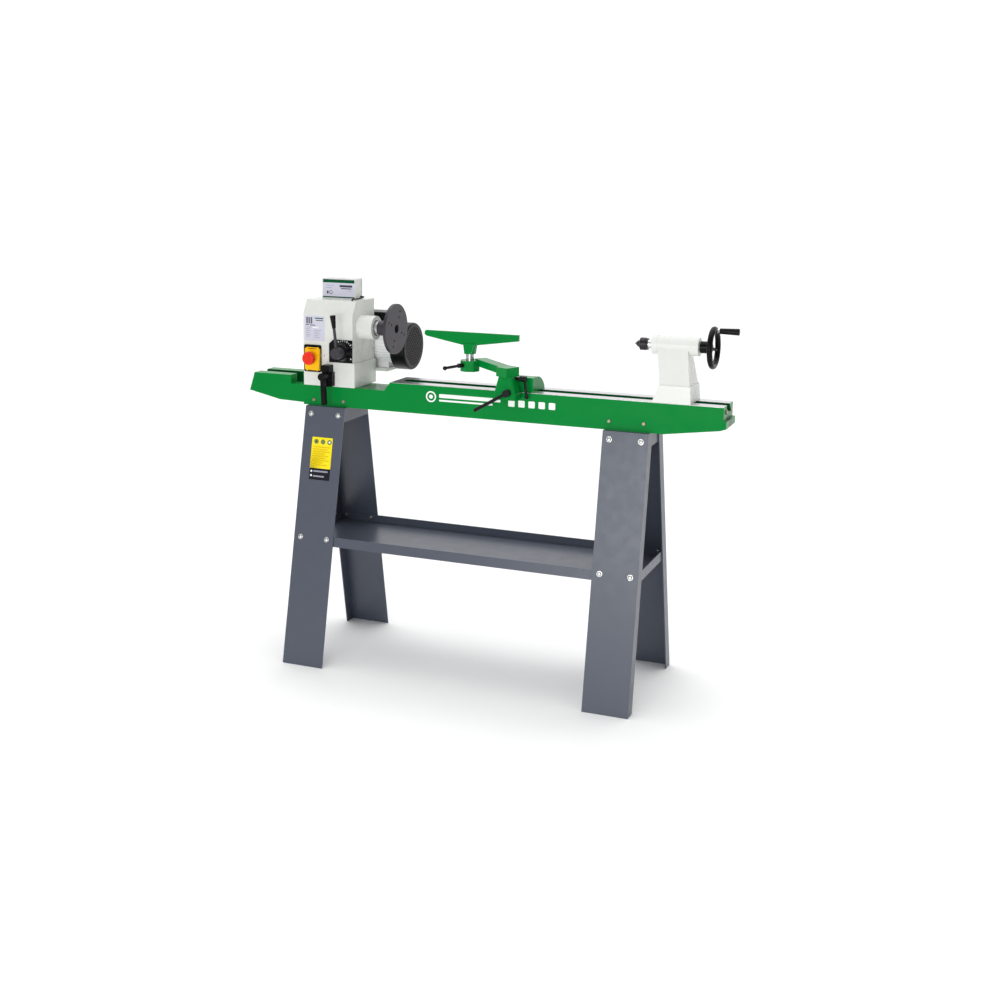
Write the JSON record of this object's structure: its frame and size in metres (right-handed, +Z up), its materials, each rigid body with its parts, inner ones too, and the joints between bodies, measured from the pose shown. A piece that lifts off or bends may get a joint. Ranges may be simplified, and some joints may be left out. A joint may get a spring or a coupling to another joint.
{
  "type": "wood lathe",
  "caption": "Wood lathe on a splayed sheet-metal stand: swivelling headstock with a side motor, faceplate, tool rest on a swinging arm, and a tailstock with a live centre and a crank handwheel.",
  "frame": {"origin": "on the floor, midway along the whole machine and in the plane of the spindle", "axes": "+X from the headstock to the tailstock, -Y faces the operator, +Z up"},
  "size_m": [1.6172, 0.4766, 1.223],
  "materials": {
    "bed_enamel": "gloss green enamel over cast iron, machined bright on the ways",
    "cream_enamel": "gloss cream enamel",
    "leg_paint": "satin grey-blue powder coat",
    "zinc_fasteners": "bright zinc plate",
    "bright_steel": "turned and ground",
    "dark_steel": "dark chemical blacking",
    "motor_alloy": "ribbed bare alloy",
    "black_paint": "satin black paint",
    "black_plastic": "moulded black plastic",
    "grey_plastic": "moulded grey plastic",
    "yellow_plastic": "moulded yellow plastic",
    "red_plastic": "moulded red plastic",
    "green_plastic": "moulded green plastic",
    "rubber": "black rubber",
    "rest_enamel": "gloss green enamel"
  },
  "bodies": {
    "stand": {"bed": "bed_enamel", "bed_screws": "zinc_fasteners", "saddle_left": "leg_paint", "saddle_right": "leg_paint", "leg_front_left": "leg_paint", "leg_front_right": "leg_paint", "leg_rear_left": "leg_paint", "leg_rear_right": "leg_paint", "leg_bolts": "zinc_fasteners", "leg_nuts": "zinc_fasteners", "shelf": "leg_paint"},
    "headstock": {"headstock_casting": "cream_enamel", "headstock_end_cover": "cream_enamel", "headstock_clamp": "dark_steel", "front_bearing": "bright_steel", "rear_bearing": "bright_steel", "belt_cover": "cream_enamel", "motor_plate": "cream_enamel", "motor_body": "motor_alloy", "fan_cover": "black_paint", "terminal_box": "black_plastic", "drive_belt": "rubber", "speed_dial_plate": "black_plastic", "speed_dial_collar": "black_plastic", "switch_plate": "black_plastic", "switch_housing": "yellow_plastic", "control_box": "cream_enamel", "control_lead": "rubber", "headstock_lock_block": "black_plastic"},
    "spindle_set": {"spindle": "bright_steel", "faceplate": "dark_steel", "spindle_pulley": "bright_steel"},
    "rotor": {"motor_shaft": "bright_steel", "cooling_fan": "black_plastic", "motor_pulley": "bright_steel"},
    "speed_control": {"speed_lever": "dark_steel", "speed_lever_grip": "black_plastic"},
    "flap": {"switch_flap": "yellow_plastic"},
    "stop_knob": {"stop_mushroom": "red_plastic"},
    "start_button": {"on_button": "green_plastic"},
    "stop_button": {"off_button": "red_plastic"},
    "headstock_lock": {"headstock_lock_lever": "black_plastic"},
    "carrier": {"rest_carrier": "rest_enamel", "rest_carrier_clamp": "dark_steel"},
    "carrier_lock": {"rest_carrier_lever": "black_paint"},
    "arm_lock": {"arm_clamp_lever": "black_paint"},
    "arm": {"rest_arm": "rest_enamel"},
    "rest_lock": {"rest_clamp_lever": "black_paint"},
    "post": {"tool_rest_post": "bright_steel"},
    "rest": {"tool_rest": "rest_enamel"},
    "tailstock": {"tailstock_casting": "cream_enamel", "tailstock_clamp": "dark_steel"},
    "tail_lock": {"tailstock_lock_lever": "black_plastic"},
    "quill_lock": {"quill_lock_lever": "black_plastic"},
    "wheel": {"handwheel": "black_paint", "leadscrew": "bright_steel"},
    "crank": {"crank_grip": "black_plastic"},
    "quill_set": {"quill": "bright_steel", "live_centre_shank": "bright_steel"},
    "centre": {"live_centre_head": "dark_steel"}
  },
  "joints": [
    {"name": "headstock_swivel", "type": "hinge", "parent": "stand", "child": "headstock", "pos_m": [-0.51, 0, 0.8774], "axis": [0, 0, -1], "range_deg": [0, 45]},
    {"name": "spindle_spin", "type": "hinge", "parent": "headstock", "child": "spindle_set", "pos_m": [-0.4, 0, 1.07], "axis": [1, 0, 0], "continuous": true},
    {"name": "motor_spin", "type": "hinge", "parent": "headstock", "child": "rotor", "pos_m": [-0.45, 0.154, 0.995], "axis": [1, 0, 0], "continuous": true},
    {"name": "speed_lever_turn", "type": "hinge", "parent": "headstock", "child": "speed_control", "pos_m": [-0.457, -0.1, 0.994], "axis": [0, 1, 0], "range_deg": [0, 100]},
    {"name": "flap_lift", "type": "hinge", "parent": "headstock", "child": "flap", "pos_m": [-0.569, -0.0705, 1.0015], "axis": [-1, 0, 0], "range_deg": [0, 95]},
    {"name": "stop_press", "type": "slide", "parent": "flap", "child": "stop_knob", "axis": [0, 1, 0], "range_m": [0, 0.004], "stiffness_N_per_m": 1500, "springref_m": -0.003},
    {"name": "on_press", "type": "slide", "parent": "headstock", "child": "start_button", "axis": [0, 1, 0], "range_m": [0, 0.003], "stiffness_N_per_m": 900, "springref_m": -0.002},
    {"name": "off_press", "type": "slide", "parent": "headstock", "child": "stop_button", "axis": [0, 1, 0], "range_m": [0, 0.003], "stiffness_N_per_m": 900, "springref_m": -0.002},
    {"name": "headstock_lock_turn", "type": "hinge", "parent": "headstock", "child": "headstock_lock", "pos_m": [-0.508, -0.1, 0.916], "axis": [0, 1, 0], "range_deg": [0, 90]},
    {"name": "carrier_slide", "type": "slide", "parent": "stand", "child": "carrier", "axis": [1, 0, 0], "range_m": [-0.095, 0.35]},
    {"name": "carrier_lock_turn", "type": "hinge", "parent": "carrier", "child": "carrier_lock", "pos_m": [0.136, -0.126, 0.912], "axis": [0, 1, 0], "range_deg": [-20, 45]},
    {"name": "arm_lock_turn", "type": "hinge", "parent": "carrier", "child": "arm_lock", "pos_m": [0.16, -0.076, 0.95], "axis": [-1, 0, 0], "range_deg": [0, 100]},
    {"name": "arm_swing", "type": "hinge", "parent": "carrier", "child": "arm", "pos_m": [0.118, -0.087, 0.957], "axis": [0, 0, 1], "range_deg": [-45, 60]},
    {"name": "rest_lock_turn", "type": "hinge", "parent": "arm", "child": "rest_lock", "pos_m": [-0.0477, -0.042, 0.974], "axis": [-0.4279, -0.9038, 0], "range_deg": [-50, 30]},
    {"name": "post_lift", "type": "slide", "parent": "arm", "child": "post", "axis": [0, 0, 1], "range_m": [-0.014, 0.02]},
    {"name": "rest_swivel", "type": "hinge", "parent": "post", "child": "rest", "pos_m": [-0.034, -0.015, 1.008], "axis": [0, 0, 1], "range_deg": [-90, 90]},
    {"name": "tailstock_slide", "type": "slide", "parent": "stand", "child": "tailstock", "axis": [1, 0, 0], "range_m": [-0.3, 0.06]},
    {"name": "tail_lock_turn", "type": "hinge", "parent": "tailstock", "child": "tail_lock", "pos_m": [0.626, 0.07, 0.93], "axis": [0, 1, 0], "range_deg": [-40, 40]},
    {"name": "quill_lock_turn", "type": "hinge", "parent": "tailstock", "child": "quill_lock", "pos_m": [0.59, 0.03, 1.07], "axis": [0, 1, 0], "range_deg": [-60, 30]},
    {"name": "handwheel_turn", "type": "hinge", "parent": "tailstock", "child": "wheel", "pos_m": [0.735, 0, 1.07], "axis": [1, 0, 0], "range_deg": [-1080, 5400]},
    {"name": "quill_slide", "type": "slide", "parent": "tailstock", "child": "quill_set", "axis": [-1, 0, 0], "range_m": [-0.012, 0.06]},
    {"name": "crank_spin", "type": "hinge", "parent": "wheel", "child": "crank", "pos_m": [0.78, 0.00782, 1.11938], "axis": [1, 0, 0], "continuous": true},
    {"name": "centre_spin", "type": "hinge", "parent": "quill_set", "child": "centre", "pos_m": [0.52, 0, 1.07], "axis": [1, 0, 0], "continuous": true}
  ],
  "couplings": [
    {"joint": "motor_spin", "follows": "spindle_spin", "ratio": 1.3226},
    {"joint": "quill_slide", "follows": "handwheel_turn", "m_per_rad": 0.00063662}
  ]
}
